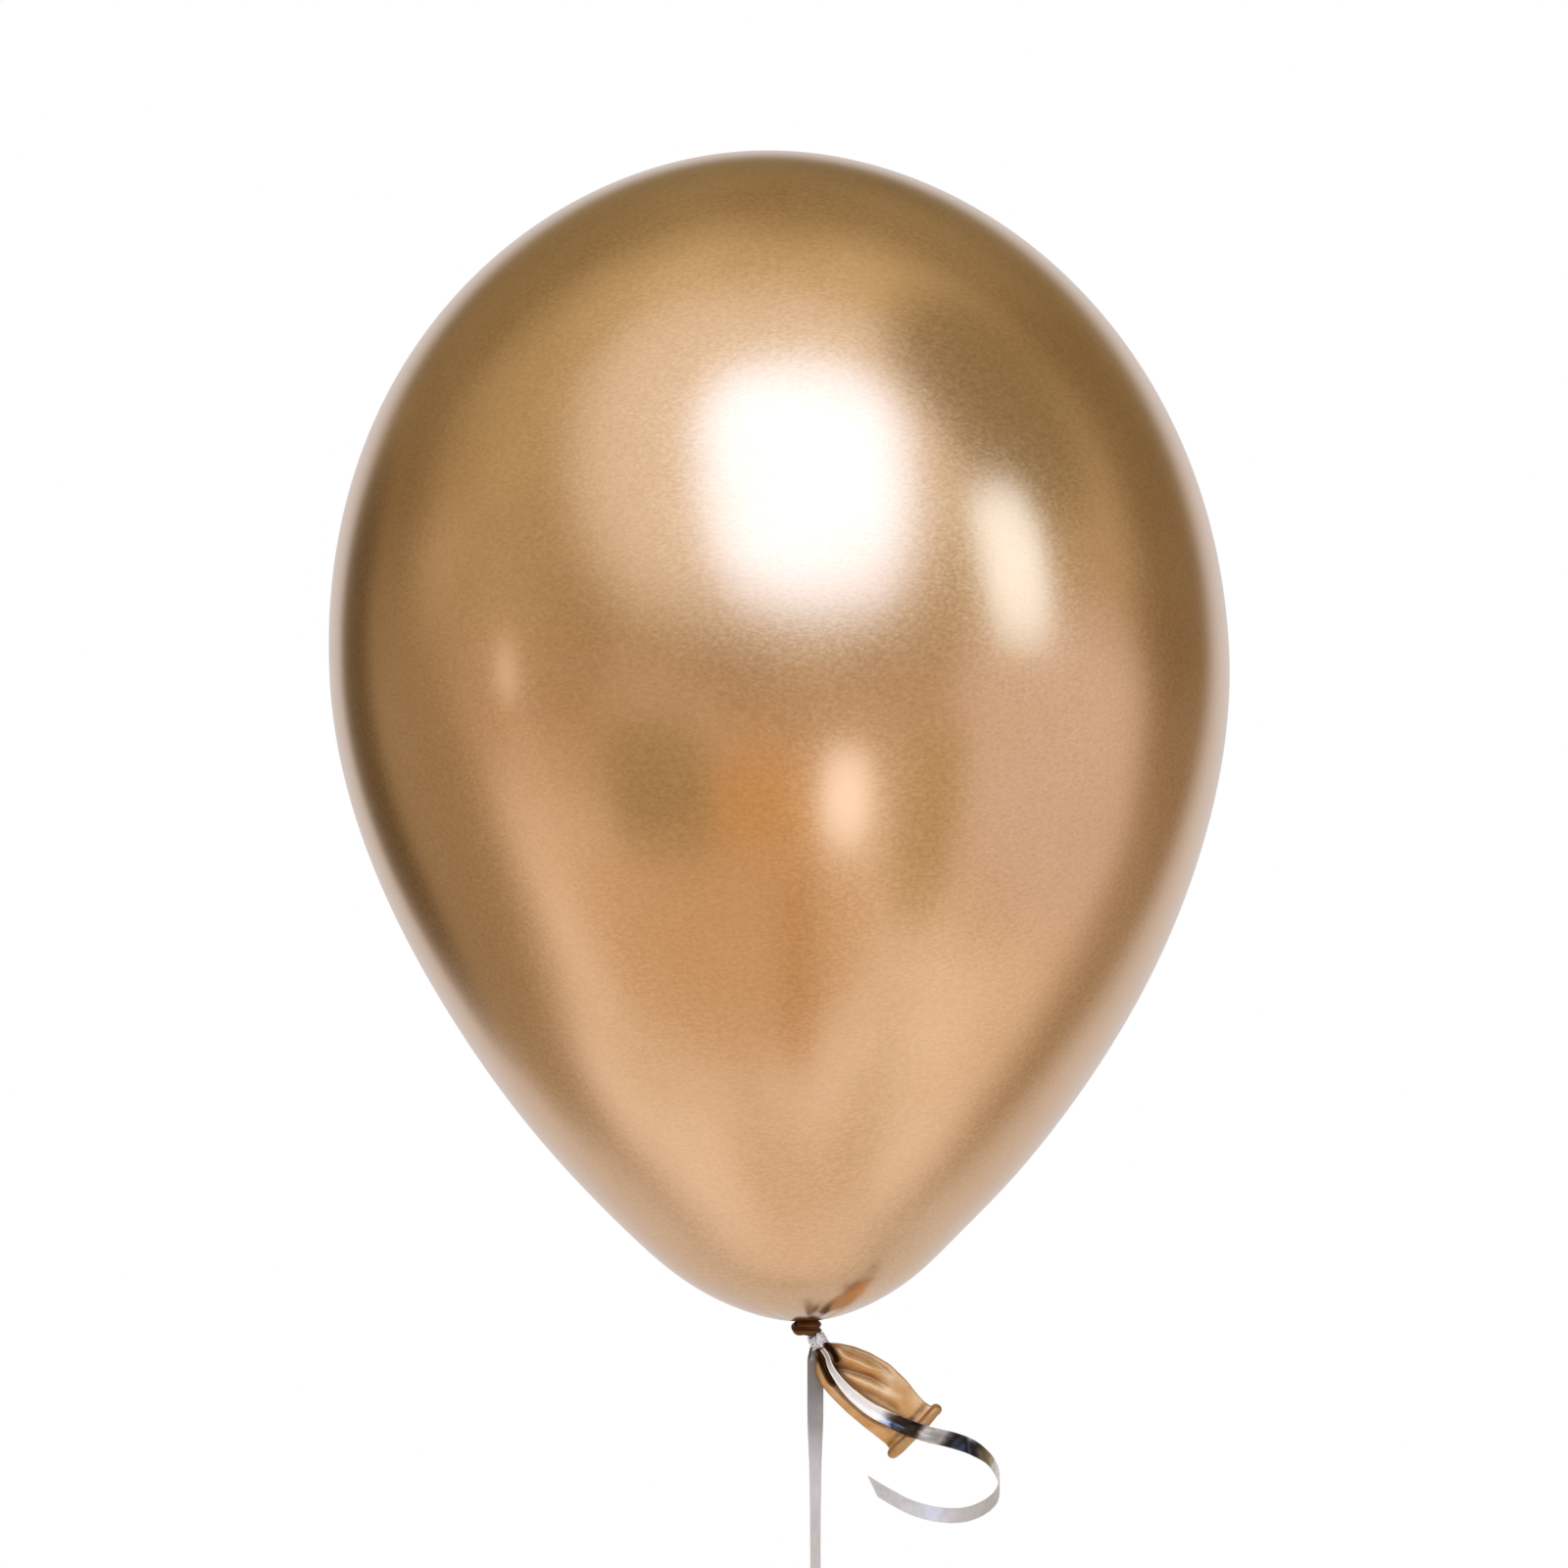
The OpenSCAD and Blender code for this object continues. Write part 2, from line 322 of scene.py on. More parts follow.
def ribbon_face(name, stops, metallic, low, high, coat, crease_colour_and_painted_light="#DADADE", shift=None):
    """Metallised polypropylene ribbon, drawn lengthwise, which leaves fine streaks along it.

    Where it is bunched, or where its crease share says so, the film takes its crease colour:
    creased white at the tie, a grey painted shade on the long end and its loop, and a painted
    reflection where the free end goes over the rim. shift is a colour that it turns to along its
    length, with the millimetres where that starts and is complete: a painted reflection on the curl
    and a painted shade on the long end.
    """
    material, tree = new_material(name)
    along = add(tree, "ShaderNodeAttribute", {"attribute_name": "strip"}).outputs["Vector"]
    # draw lines 0.3 mm apart, many times longer than they are wide
    stretch = add(tree, "ShaderNodeMapping", Vector=along,
                  Scale=(1 / (0.3 * MM), 1 / (12 * MM), 1.0))
    lines = add(tree, "ShaderNodeTexNoise", Vector=stretch.outputs[0], Scale=1.0, Detail=3.0)
    # scuffs about 4 mm across and 10 mm long; on the curl's mirror face these patches are painted
    # reflections, dark, with white glints
    scuff_and_reflection_scale = add(tree, "ShaderNodeMapping", Vector=along,
                 Scale=(1 / (4 * MM), 1 / (10 * MM), 1.0))
    scuff_and_reflection_noise = add(tree, "ShaderNodeTexNoise", Vector=scuff_and_reflection_scale.outputs[0], Scale=1.0, Detail=3.0)
    colour = ramp(tree, scuff_and_reflection_noise.outputs["Fac"], stops)
    if shift:
        turned_to, start, complete = shift
        place = add(tree, "ShaderNodeSeparateXYZ", Vector=along).outputs["Y"]
        there = add(tree, "ShaderNodeMapRange", {"interpolation_type": "SMOOTHSTEP"},
                    Value=place, From_Min=start * MM, From_Max=complete * MM)
        colour = add(tree, "ShaderNodeMix", {"data_type": "RGBA"}, _0=there.outputs[0],
                     _6=colour, _7=to_linear(turned_to)).outputs[2]
    # how far the film takes its crease colour: real creasing, a painted shade on the long end and a
    # painted reflection over the rim
    crease_and_painted_light_share = add(tree, "ShaderNodeAttribute", {"attribute_name": "gathered"}).outputs["Fac"]
    # the patch noise makes the edge of the creased stretch ragged
    ragged = add(tree, "ShaderNodeMapRange", Value=scuff_and_reflection_noise.outputs["Fac"], From_Min=0.35,
                 From_Max=0.62, To_Min=0.2, To_Max=3.0)
    power = add(tree, "ShaderNodeMath", {"operation": "POWER"}, _0=crease_and_painted_light_share,
                _1=ragged.outputs[0])
    white = add(tree, "ShaderNodeMix", {"data_type": "RGBA"}, _0=power.outputs[0], _6=colour,
                _7=to_linear(crease_colour_and_painted_light))
    gloss = add(tree, "ShaderNodeMapRange", Value=lines.outputs["Fac"], From_Min=0.3,
                From_Max=0.7, To_Min=low, To_Max=high)
    # creased film mirrors less and is rougher
    matter = add(tree, "ShaderNodeMapRange", Value=crease_and_painted_light_share, To_Min=metallic,
                 To_Max=metallic * 0.25)
    added = add(tree, "ShaderNodeMath", {"operation": "MULTIPLY"}, _0=crease_and_painted_light_share, _1=0.2)
    rougher = add(tree, "ShaderNodeMath", _0=gloss.outputs[0], _1=added.outputs[0])
    skin = add(tree, "ShaderNodeBump", Height=lines.outputs["Fac"], Strength=0.1,
               Distance=0.01 * MM)
    shader = add(tree, "ShaderNodeBsdfPrincipled", Base_Color=white.outputs[2],
                 Metallic=matter.outputs[0], Roughness=rougher.outputs[0],
                 Normal=skin.outputs[0], Coat_Weight=coat, Coat_Roughness=0.12, Coat_IOR=1.49)
    finish_material(tree, shader)
    return material


STRETCHED = stretched_latex()
SLACK = slack_latex()
# vacuum-metallised face of the curl, with painted reflections in its colour: dark patches with
# white glints, and pale from 60 to 69 mm along; creased white near the tie
MIRROR = ribbon_face("metallised_ribbon_face", [(0.45, "#343032"), (0.6, "#56514F"),
                                                 (0.72, "#E6DED0")], 1.0, 0.1, 0.22, 0.0,
                     crease_colour_and_painted_light="#F2EEE8", shift=("#F2EEE6", 60, 69))
# the same film crumpled into the tie, which catches light from all sides
CRUSHED = ribbon_face("crushed_metallised_ribbon", [(0.35, "#AEB0B8"), (0.6, "#E6E7EC")], 1.0,
                      0.16, 0.3, 0.0, crease_colour_and_painted_light="#ECECF0")
# the long end: satin metallised film, with painted shade in its colour: grey where it is bunched,
# and greyer towards the start of each strip, fully up to 14 mm and fading out by 48 mm
SATIN = ribbon_face("satin_metallised_ribbon", [(0.3, "#DCDEDC"), (0.7, "#EAECEA")], 0.8,
                    0.3, 0.42, 0.2, crease_colour_and_painted_light="#A8A4A0", shift=("#969492", 48, 14))
# bare back of the film: pearly grey
PEARL = ribbon_face("pearly_ribbon_back", [(0.3, "#CAC7C4"), (0.7, "#DAD6D2")], 0.3,
                    0.32, 0.46, 0.15)

# ------------------------------------------------------------------------ ribbon

RIBBON_W = 5 * MM
RIBBON_T = 0.12 * MM
FOLDS = 4                    # lengthwise folds where the ribbon is bunched up
COLUMNS = 25                 # points across the ribbon
CREASE_GAIN = 1.6            # how soon bunching brings in the crease colour: white on the tie, painted grey shade on the long end


def ribbon_strip(name, route, widths, bunch, faces, cut=0.0, crinkle=0.0, folds=FOLDS,
                 step=0.5 * MM, crease_and_painted_light_share=None):
    """A flat ribbon along a route, with a back and a face.

    bunch says how wide it is at each share of its length, 1 for flat, less for gathered into
    lengthwise folds. cut slants the free end by that much. The last argument says how far the film
    takes its crease colour at each share of the length, which otherwise follows from how bunched it
    is.
    """
    dense = smooth_route(route, 12)
    wide = smooth_route(widths, 12)
    total = lengths_along(dense)[-1]
    if cut:
        beyond = unit(dense[-1] - dense[-2]) * cut
        dense = np.vstack([dense, dense[-1] + beyond])
        wide = np.vstack([wide, wide[-1]])
    count = int(total / step) + 1
    share = np.linspace(0, 1, count)
    across = np.linspace(-1, 1, COLUMNS)
    # folds of uneven width
    phase = (across + 1) / 2 + 0.05 * np.sin(2.5 * math.pi * across + 1)
    zigzag = np.sin(math.pi / 2 * (2 * np.abs(phase * folds / 2 % 1 - 0.5) * 2 - 1))
    gather = np.interp(share, *zip(*bunch))
    panel = RIBBON_W / folds
    rise = panel / 2 * np.sqrt(np.maximum(0, 1 - gather ** 2))
    rows = np.zeros((count, COLUMNS, 3))
    strip = np.zeros((count, COLUMNS, 3))
    for k, a in enumerate(across):
        length = total + cut * a / 2
        wanted = share * length
        centre = at_lengths(dense, dense, wanted)
        _, side, face = square_frames(centre, at_lengths(dense, wide, wanted))
        # crinkles about 7 and 3 mm long, which run slantwise across the ribbon
        wave = crinkle * (np.sin(wanted / (1.1 * MM) + 2.2 * a + 2 * np.sin(wanted / (3 * MM)))
                          + 0.6 * np.sin(wanted / (0.5 * MM) - 3.1 * a))
        rows[:, k] = (centre + side * (a * RIBBON_W / 2 * gather)[:, None]
                      + face * (rise * zigzag[k] + wave)[:, None])
        strip[:, k, 0] = a * RIBBON_W / 2
        strip[:, k, 1] = wanted
    piece = grid_mesh(name, rows)
    white = np.interp(share, *zip(*crease_and_painted_light_share)) if crease_and_painted_light_share else (1 - gather) * CREASE_GAIN
    add_layer(piece, "gathered", np.repeat(ease(white), COLUMNS))
    layer = piece.data.attributes.new("strip", "FLOAT_VECTOR", "POINT")
    layer.data.foreach_set("vector", strip.reshape(-1))
    for material in faces:
        piece.data.materials.append(material)
    apply_modifier(piece, "SOLIDIFY", thickness=RIBBON_T, offset=0, material_offset=1,
                   material_offset_rim=1)
    return piece


def mm(points):
    """Points given in millimetres, in metres."""
    return np.asarray(points, float) * MM


# the free end, from the tie along the tail and over the rim, then its curl
FREE_END = mm([[1.4, -3.1, -2.6], [3, -3.2, -5], [3.8, -3.3, -7.6], [5.3, -3.4, -10.4],
               [8.7, -3.4, -14.8], [12.2, -3.5, -18], [16.4, -3.6, -21.2], [21.7, -3.8, -24],
               [27.8, -4.1, -26.9], [34.2, -4.7, -29],
               [35.8, -5, -29.4], [38.8, -5.4, -30], [43.4, -5.6, -31.2], [47.9, -4.6, -33],
               [52.4, -1.2, -36.1], [55.6, 4, -40.3], [57.2, 10, -45.4], [56.4, 16, -50.6],
               [53, 21.5, -54.6], [47.4, 25.5, -57.4], [41, 27.5, -58], [34.6, 27.8, -57],
               [28.3, 26.5, -54.7], [22, 24, -51], [17.6, 21.5, -48.1]])
FREE_END_WIDE = np.array(
    [[1, 0.1, 0.3], [1, 0.1, 0.3], [1, 0.1, 0.4], [0.9, 0.1, 0.5], [0.8, 0.1, 0.8],
     [0.7, 0, 0.8], [0.6, 0, 0.8], [0.5, 0, 0.9], [0.4, 0, 0.9], [0.4, 0, 0.9],
     [0.4, 0, 0.9], [0.4, 0, 0.9], [0.3, 0.2, 0.9], [0.2, 0.4, 0.9], [0, 0.5, 0.9]]
    + [[0, 0.5, 0.9]] * 10)
# where the free end comes out of the half hitch
HITCH_EXIT = (1.4 * MM, -3.1 * MM, -2.6 * MM)

# the long end, straight down from where it is tucked into the back of the tie
LONG_END = mm([[-0.5, 2.85, -0.6], [-0.6, 3.1, -3], [-0.6, 3.2, -12], [-0.6, 3.2, -24],
               [-0.6, 3.2, -40], [-0.6, 3.2, -60], [-0.6, 3.2, -83]])
LONG_END_WIDE = np.array([[1, 0, 0], [1, 0, 0], [1, 0, 0], [1, 0.2, 0], [1, 0.9, 0],
                          [1, 1.2, 0], [1, 1.2, 0]])
LOOP_KNOT = np.array([-0.6, 3.2, -83.6]) * MM
LOOP_TURN = math.radians(50)             # how far the loop is turned from facing sideways
# the hand loop, from its knot
LOOP = mm([[0, 0.8, -2.9], [0, 3.6, -8], [0, 6.4, -15], [0, 6.6, -22], [0, 3.8, -27.4],
           [0, 0, -29], [0, -3.8, -27.4], [0, -6.6, -22], [0, -6.4, -15], [0, -3.6, -8],
           [0, -0.8, -2.9]])


def turned(points, angle):
    """Points turned about Z."""
    c, s = math.cos(angle), math.sin(angle)
    points = np.asarray(points, float)
    return np.stack([points[..., 0] * c - points[..., 1] * s,
                     points[..., 0] * s + points[..., 1] * c, points[..., 2]], axis=-1)


def make_free_end():
    """The ribbon's short end: bunched up at the tie, flat and curled further on."""
    piece = ribbon_strip("ribbon_free_end", FREE_END, FREE_END_WIDE,
                         bunch=[(0, 0.28), (0.03, 0.3), (0.07, 0.45), (0.13, 0.7), (0.2, 0.86),
                                (0.27, 1), (1, 1)],
                         faces=(PEARL, MIRROR), cut=5.5 * MM, crinkle=0.03 * MM, folds=2,
                         # creased white near the tie; the second white stretch, where the free end
                         # goes over the rim, is a painted reflection
                         crease_and_painted_light_share=[(0, 1), (0.2, 1), (0.245, 0), (0.29, 0), (0.31, 0.6),
                                  (0.355, 0.6), (0.38, 0), (1, 0)])
    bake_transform(piece)
    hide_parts("ribbon_lead", "ribbon_curl")


def make_long_end():
    """The ribbon's long end, pulled straight, with its tied loop below."""
    piece = ribbon_strip("ribbon_long_end", LONG_END, LONG_END_WIDE,
                         bunch=[(0, 0.45), (0.03, 0.7), (0.07, 1), (0.93, 1), (0.97, 0.5),
                                (1, 0.3)], faces=(PEARL, SATIN), crinkle=0.02 * MM)
    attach(piece, "tether")
    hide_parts("ribbon_tether")
    wide = np.tile([1.0, 0, 0], (len(LOOP), 1))
    loop = ribbon_strip("hand_loop_ribbon", turned(LOOP, LOOP_TURN) + LOOP_KNOT,
                        turned(wide, LOOP_TURN),
                        bunch=[(0, 0.4), (0.08, 0.9), (0.15, 1), (0.85, 1), (0.92, 0.9),
                               (1, 0.4)], faces=(SATIN, PEARL), crinkle=0.02 * MM)
    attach(loop, "loop")
    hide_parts("hand_loop")
    knot = make_loop_knot()


def make_loop_knot():
    """An overhand knot of bunched ribbon, drawn tight where the loop is tied."""
    turn = np.linspace(0.15, 1.95 * math.pi, 41)
    # the curve of a trefoil knot, cut open
    tied = np.stack([0.5 * (np.sin(turn) + 2 * np.sin(2 * turn)), 0.75 * np.sin(3 * turn),
                     0.62 * (np.cos(turn) - 2 * np.cos(2 * turn))], axis=-1) * MM
    widths = np.stack([np.sin(turn), 1.6 + 0 * turn, np.cos(2 * turn)], axis=-1)
    knot = ribbon_strip("loop_knot_turns", turned(tied, LOOP_TURN) + LOOP_KNOT, widths,
                        bunch=[(0, 0.34), (1, 0.34)], faces=(PEARL, PEARL),
                        crinkle=0.05 * MM, folds=3, step=0.2 * MM)
    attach(knot, "tether")
    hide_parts("loop_knot")
    return knot


make_free_end()
make_long_end()

# ----------------------------------------------------------------- the envelope

ENVELOPE_LOW, ENVELOPE_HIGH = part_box("envelope")
BELLY_R = (ENVELOPE_HIGH.y - ENVELOPE_LOW.y) / 2
THROAT = Vector((-3.5, 0, 6.1)) * MM
HEIGHT = ENVELOPE_HIGH.z - THROAT.z
BELLY_AT = 0.5616            # height of the widest place, as a share of the whole height
LEAN = math.radians(2.2)
THROAT_R = 2.2 * MM
FILM_T = 0.3 * MM
AROUND = 256                 # points round the envelope
# less stretched rubber is deeper in colour within about these distances of the axis
CROWN_CAP_R = 16 * MM
THROAT_CAP_R = 20 * MM


def envelope_outline():
    """Radius and height of the envelope from the crown to the throat."""
    belly = BELLY_AT * HEIGHT
    crown = HEIGHT - belly
    top = bezier([(0, HEIGHT), (0.48 * BELLY_R, HEIGHT), (BELLY_R, belly + 0.63 * crown),
                  (BELLY_R, belly)], 90)
    low = bezier([(BELLY_R, belly), (BELLY_R, belly * 0.525), (0.3 * BELLY_R, 0),
                  (THROAT_R, 0)], 140)
    return np.concatenate([top, low[1:]])


def make_envelope():
    """The blown-up bladder: an inner and an outer skin that meet at the throat."""
    outline = envelope_outline()
    outline = np.insert(outline, 1, (0.15 * outline[1, 0], HEIGHT), axis=0)
    run = unit(np.gradient(outline, axis=0))
    inward = np.stack([run[:, 1], -run[:, 0]], axis=-1)
    inner = outline + inward * FILM_T
    inner[:, 0] = np.maximum(inner[:, 0], 0)
    skin = np.concatenate([outline[1:], inner[:0:-1]])
    turn = np.linspace(0, 2 * math.pi, AROUND, endpoint=False)
    rows = []
    film = []
    for radius, height in skin:
        # pleats of uneven width where the film is gathered into the throat
        near_throat = math.exp(-height / (4 * MM))
        pleats = (np.sin(17 * turn) + 0.6 * np.sin(11 * turn + 1.3)
                  + 0.5 * np.sin(23 * turn + 0.4))
        # it isn't quite round
        swell = 1 + 0.0012 * math.sin(math.pi * height / HEIGHT) * np.cos(2 * turn + 0.7)
        # rubber pushed down round the throat
        roll = 2.2 * MM * hill(height, 10 * MM, 13 * MM) * (1 - math.exp(-height / (2 * MM)))
        reach = (radius + roll) * swell
        lift = 0.1 * MM * near_throat * pleats * min(1, radius / (6 * MM))
        share = height / HEIGHT
        # and it isn't quite straight
        sway = (hill(share, 0.28, 0.13) - 2.4 * ease((share - 0.4) / 0.55)
                - 0.9 * hill(share, 0.06, 0.04)) * MM
        rows.append(np.stack([reach * np.cos(turn) + sway, reach * np.sin(turn), height + lift],
                             -1))
        cap_r = CROWN_CAP_R if height > HEIGHT / 2 else THROAT_CAP_R
        thick = math.exp(-((radius / cap_r) ** 2))
        film.extend([1 - thick] * AROUND)
    piece = grid_mesh("envelope_skin", rows, around=True, capped=True)
    mesh = piece.data
    add_layer(piece, "film", film)
    mesh.transform(Matrix.Translation(THROAT) @ Matrix.Rotation(-LEAN, 4, "Y"))
    mesh.materials.append(STRETCHED)
    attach(piece, "balloon")
    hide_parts("envelope")


make_envelope()

# ------------------------------------------------------ neck, knot, tail and rim

NECK_DIR = np.array([0.5, 0, -math.sqrt(0.75)])        # along the neck, through the tie
NECK_SIDE = np.array([math.sqrt(0.75), 0, 0.5])        # square to it, in the plane of the lean
FRONT = np.array([0, -1, 0])
KNOT_AT = np.array([-3.5, 0, 3.7]) * MM
HINGE = np.array(JOINTS["tail_flop"]["pos_m"])
TAIL_DROP = math.radians(42.5)
TAIL_ALONG = np.array([math.cos(TAIL_DROP), 0, -math.sin(TAIL_DROP)])
TAIL_ACROSS = np.array([math.sin(TAIL_DROP), 0, math.cos(TAIL_DROP)])
TAIL_LEN = 38 * MM
BEAD_R = 1.7 * MM
BEAD_HALF = 11.3 * MM
SLEEVE_T = 0.25 * MM

# the flattened sleeve, in millimetres: its upper and lower edges at these lengths along it
EDGE_AT = [0, 1.5, 4, 8, 13, 20, 27, 33, 36, 39]
UPPER_EDGE = [1.5, 2.6, 4.6, 6.9, 8.8, 10.3, 10.1, 9.1, 8.9, 9.6]
LOWER_EDGE = [-1.5, -3.4, -6.8, -8.9, -9.6, -9.9, -9.6, -9.1, -8.9, -9.6]
# its folds: each one's path as places along and across it, then how deep the fold is (less
# than 0 for a ridge), how wide, and how square its sides are
FRONT_FOLDS = [
    ([[0, -0.4], [3, -1.5], [6, -2.6], [9, -3.6], [15, -4.6], [20, -4.7], [25, -4.1], [31, -2.7],
      [36, -1]], 2.6, 1.7, 1.4),
    ([[0.5, 0.9], [3, 1.2], [5.5, 0.6], [7.5, -0.6]], 2.4, 0.8, 1.4),
    ([[0.5, -1.6], [4, -3.4], [8, -5.2], [12, -6.3]], 2.4, 0.9, 1.4),
    ([[6.5, -2.2], [10, -0.6], [14, 1.4], [19, 3.6], [25, 4.6]], 1.1, 1.1, 1.4),
    ([[5, 3.4], [10, 5.8], [17, 7.8], [24, 8.2]], 0.5, 1.0, 1.4),
    ([[19, -1.4], [25, 0.4], [32, 1.4]], 0.45, 1.3, 1.4),
    ([[2, -3.6], [6, -6.3], [11, -7.6], [20, -7.9], [33, -6.8]], -1.0, 1.5, 2.0),
    ([[3, 2.4], [8, 2.6], [13, 4.2], [20, 6.2]], -0.9, 1.4, 2.0),
    ([[10, -2.0], [16, -0.2], [23, 1.9], [32, 4.2]], -0.7, 1.5, 2.0),
    ([[1, 0], [4, 0.2], [6.5, -1.2]], -0.7, 0.6, 2.0)]
BACK_FOLDS = [
    ([[0, 1], [7, 2.2], [16, 3], [26, 2.4]], 1.3, 1.4, 1.4),
    ([[1, -1.5], [9, -4.4], [19, -4.8]], 1.0, 1.1, 1.4),
    ([[6, -1.2], [16, -1.2], [28, -1]], -0.5, 2.4, 2.0)]


def make_neck():
    """Gathered rubber from the throat through the knot into the tie."""
    route = np.array([np.array(THROAT) + [0, 0, 0.8 * MM], np.array(THROAT) - [0, 0, 0.6 * MM],
                      -3.2 * MM * NECK_DIR, 0 * NECK_DIR, 1.6 * MM * NECK_DIR,
                      HINGE + 0.9 * MM * TAIL_ALONG])
    route = smooth_route(route, 8)
    share = np.linspace(0, 1, len(route))
    radius = 1.9 * MM + 0.25 * MM * hill(share, 0, 0.15) - 0.9 * MM * hill(share, 1, 0.12)
    neck = tube("neck_gather", route, radius, sides=72, flutes=0.1, flute_count=11)
    # painted shade: the whole neck is browned, for the shade in its gathered rubber under the
    # balloon
    add_layer(neck, "gathered", np.full(len(neck.data.vertices), 0.7))
    neck.data.materials.append(SLACK)
    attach(neck, "balloon")
    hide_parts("neck")


def make_knot():
    """The neck rolled up and drawn tight in nearly two turns, with both ends tucked in."""
    turn = np.linspace(-0.9 * math.pi, 2.9 * math.pi, 110)
    share = np.linspace(0, 1, 110)
    tuck = 1 - 0.45 * (hill(share, 0, 0.05) + hill(share, 1, 0.06))
    route = np.stack([3.3 * np.cos(turn) * tuck, 3.1 * np.sin(turn) * tuck,
                      0.95 * np.cos(math.pi * ease((share - 0.3) / 0.4))
                      + 0.12 * np.sin(3 * turn)], -1) * MM + KNOT_AT
    radius = (1.32 + 0.1 * np.sin(5 * turn + 1) - 0.4 * hill(share, 0, 0.06)
              - 0.35 * hill(share, 1, 0.06)) * MM
    roll = tube("knot_roll", route, radius, sides=60, flutes=0.12, flute_count=5)
    # painted shade: the knot, in the shadow of the balloon's bottom, is made nearly brown; rolled
    # rubber is also a little deeper in colour
    add_layer(roll, "gathered", np.full(len(roll.data.vertices), 0.95))
    roll.data.materials.append(SLACK)
    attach(roll, "balloon")
    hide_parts("knot")


def crease(along, across, path, depth, spread, sharp):
    """How far a fold pushes the rubber in: deepest on its path, which is in millimetres."""
    path = np.asarray(path, float)
    dense = smooth_route(np.column_stack([path[:, 0], path[:, 1], 0 * path[:, 0]]), 6)[:, :2]
    best = np.full(along.shape, 1e9)
    where = np.zeros(along.shape)
    last = len(dense) - 1
    for k in range(last):
        start, step = dense[k], dense[k + 1] - dense[k]
        share = ((along - start[0]) * step[0] + (across - start[1]) * step[1]) / (step @ step)
        share = np.clip(share, 0, 1)
        away = np.hypot(along - start[0] - share * step[0], across - start[1] - share * step[1])
        closer = away < best
        best = np.where(closer, away, best)
        where = np.where(closer, (k + share) / last, where)
    fade = ease(4 * where + 0.25) * ease(4 * (1 - where) + 0.1)
    return depth * fade * np.exp(-((best / spread) ** sharp))


def make_tail():
    """The slack sleeve: flattened, folded lengthwise round the ribbon, gathered at the tie."""
    rows_count = 150
    sides = 220
    share = np.linspace(0, 1, rows_count)
    length = share * (TAIL_LEN / MM + 1.0)
    soften = np.hanning(13) / np.hanning(13).sum()
    upper, lower = (np.convolve(np.pad(np.interp(length, EDGE_AT, edge), 6, "edge"), soften,
                                "valid") for edge in (UPPER_EDGE, LOWER_EDGE))
    thick = np.interp(length, [0, 3, 10, 24, 34, 39], [1.5, 2.0, 2.2, 2.0, 1.7, 1.5])
    turn = np.linspace(0, 2 * math.pi, sides, endpoint=False)
    c, s = np.cos(turn), np.sin(turn)
    wide = np.sign(c) * np.abs(c) ** 0.85
    deep = np.sign(s) * np.abs(s) ** 0.75
    along = np.repeat(length[:, None], sides, 1)
    across = ((upper + lower) / 2)[:, None] + ((upper - lower) / 2)[:, None] * wide
    depth = -thick[:, None] * deep
    front = np.clip(s * 4, 0, 1)[None, :]
    back = np.clip(-s * 4, 0, 1)[None, :]
    folds = sum(crease(along, across, *fold) for fold in FRONT_FOLDS)
    behind = sum(crease(along, across, *fold) for fold in BACK_FOLDS)
    depth = depth + front * folds - back * behind
    # fine pleats at the tie, then a puckered groove under the rim
    gather = np.exp(-along / 3.2)
    depth = depth + gather * 0.35 * np.sin(13 * turn)[None, :]
    groove = hill(along, 36.6, 0.9)
    pucker = 0.5 + 0.12 * np.sin(across * 1.3 + 0.5)
    depth = depth + groove * pucker * s[None, :]
    # the front never passes through the back
    other = np.roll(depth[:, ::-1], 1, axis=1)
    gap = 0.45 * np.minimum(1, np.abs(s) * 2)[None, :]
    middle = (depth + other) / 2
    depth = np.where(s[None, :] > 0, np.minimum(depth, middle - gap),
                     np.maximum(depth, middle + gap))
    points = (HINGE + (along * MM)[..., None] * TAIL_ALONG + (across * MM)[..., None] * TAIL_ACROSS
              + (depth * MM)[..., None] * np.array([0, 1, 0]))
    sleeve = grid_mesh("tail_skin", points, around=True)
    # painted shade: the rubber is made browner in the folds, in the groove under the rim and
    # towards the tie
    painted_fold_shade = np.clip(front * folds / 2.4 + 0.7 * np.exp(-along / 2.2)
                     + 0.34 * np.exp(-((along / 17) ** 2)) + 0.5 * groove, 0, 1)
    add_layer(sleeve, "gathered", painted_fold_shade.ravel())
    apply_modifier(sleeve, "SOLIDIFY", thickness=SLEEVE_T, offset=-1)
    sleeve.data.materials.append(SLACK)
    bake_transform(sleeve)
    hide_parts("tail_sleeve")


def make_bead():
    """The rolled rim: rubber rolled up on itself, pressed flat across the mouth."""
    bow = 1.75 * MM              # from the mouth's middle to the centre of each long run
    half_run = BEAD_HALF - BEAD_R - bow
    centre = HINGE + (TAIL_LEN + BEAD_R) * TAIL_ALONG
    turn = np.linspace(0, 2 * math.pi, 200, endpoint=False)
    c, s = np.cos(turn), np.sin(turn)
    across = np.sign(c) * np.abs(c) ** 0.35 * half_run + bow * c
    depth = bow * np.sign(s) * np.abs(s) ** 0.5
    sway = 0.35 * MM * np.sin(1.5 * across / half_run + 0.4) + 0.1 * MM * np.sin(3 * turn + 1)
    route = (centre + across[:, None] * TAIL_ACROSS + depth[:, None] * np.array([0, 1, 0])
             + sway[:, None] * TAIL_ALONG)
    radius = BEAD_R * (1 + 0.05 * np.sin(3 * turn + 0.6) + 0.03 * np.sin(5 * turn))
    bead = tube("mouth_rim", route, radius, sides=28, flutes=0.02, flute_count=4, closed=True)
    # painted shade: the rolled rim is browned a third of the way
    add_layer(bead, "gathered", np.full(len(bead.data.vertices), 0.33))
    bead.data.materials.append(SLACK)
    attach(bead, "tail")
    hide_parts("mouth_bead")


